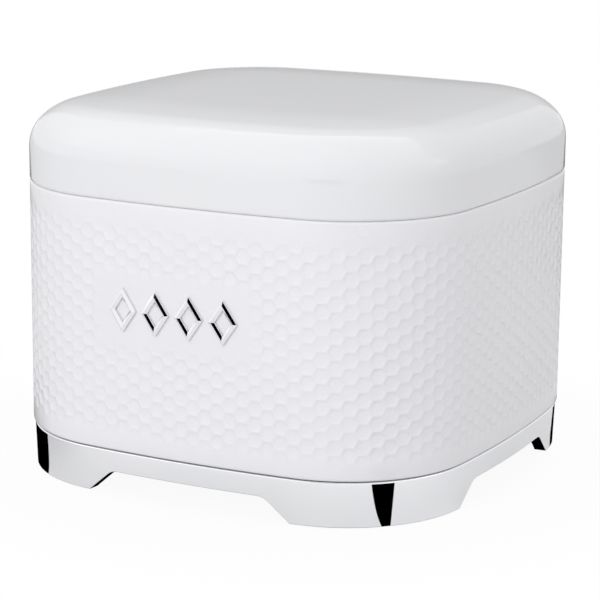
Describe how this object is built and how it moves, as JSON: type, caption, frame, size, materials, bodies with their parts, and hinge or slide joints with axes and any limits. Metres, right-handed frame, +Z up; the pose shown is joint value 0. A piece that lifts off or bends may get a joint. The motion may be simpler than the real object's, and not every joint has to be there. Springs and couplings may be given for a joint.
{
  "type": "cake tin",
  "caption": "Square cake tin of white embossed sheet steel with a deep lift-off cap, on a chrome plinth with corner feet.",
  "frame": {"origin": "on the ground, under the middle of the tin", "axes": "+Z up, towards the lid; the front with its row of ornaments faces -Y; +X to the right of the front"},
  "size_m": [0.27, 0.2725, 0.2099],
  "materials": {
    "lid_enamel": "gloss white baked enamel on pressed steel",
    "body_enamel": "satin-gloss white baked enamel on embossed steel",
    "floor_enamel": "white baked enamel on pressed steel",
    "plinth_chrome": "bright chrome plating on moulded ABS",
    "ornament_chrome": "bright chrome plating on moulded ABS",
    "silicone": "translucent white silicone",
    "pad_rubber": "matte black rubber",
    "zinc_steel": "bright zinc-plated steel",
    "foam_tape": "white foam adhesive tape"
  },
  "bodies": {
    "tin": {"body_wall": "body_enamel", "body_floor": "floor_enamel", "plinth": "plinth_chrome", "foot_pad_front_left": "pad_rubber", "foot_pad_front_right": "pad_rubber", "foot_pad_back_left": "pad_rubber", "foot_pad_back_right": "pad_rubber", "floor_studs": "zinc_steel", "plinth_nuts": "zinc_steel", "lozenge_1": "ornament_chrome", "lozenge_2": "ornament_chrome", "lozenge_3": "ornament_chrome", "lozenge_4": "ornament_chrome", "lozenge_tapes": "foam_tape"},
    "lid": {"lid_shell": "lid_enamel", "lid_seal": "silicone"}
  },
  "joints": [
    {"name": "lid_lift", "type": "slide", "parent": "tin", "child": "lid", "axis": [0, 0, 1], "range_m": [0, 0.06]}
  ]
}
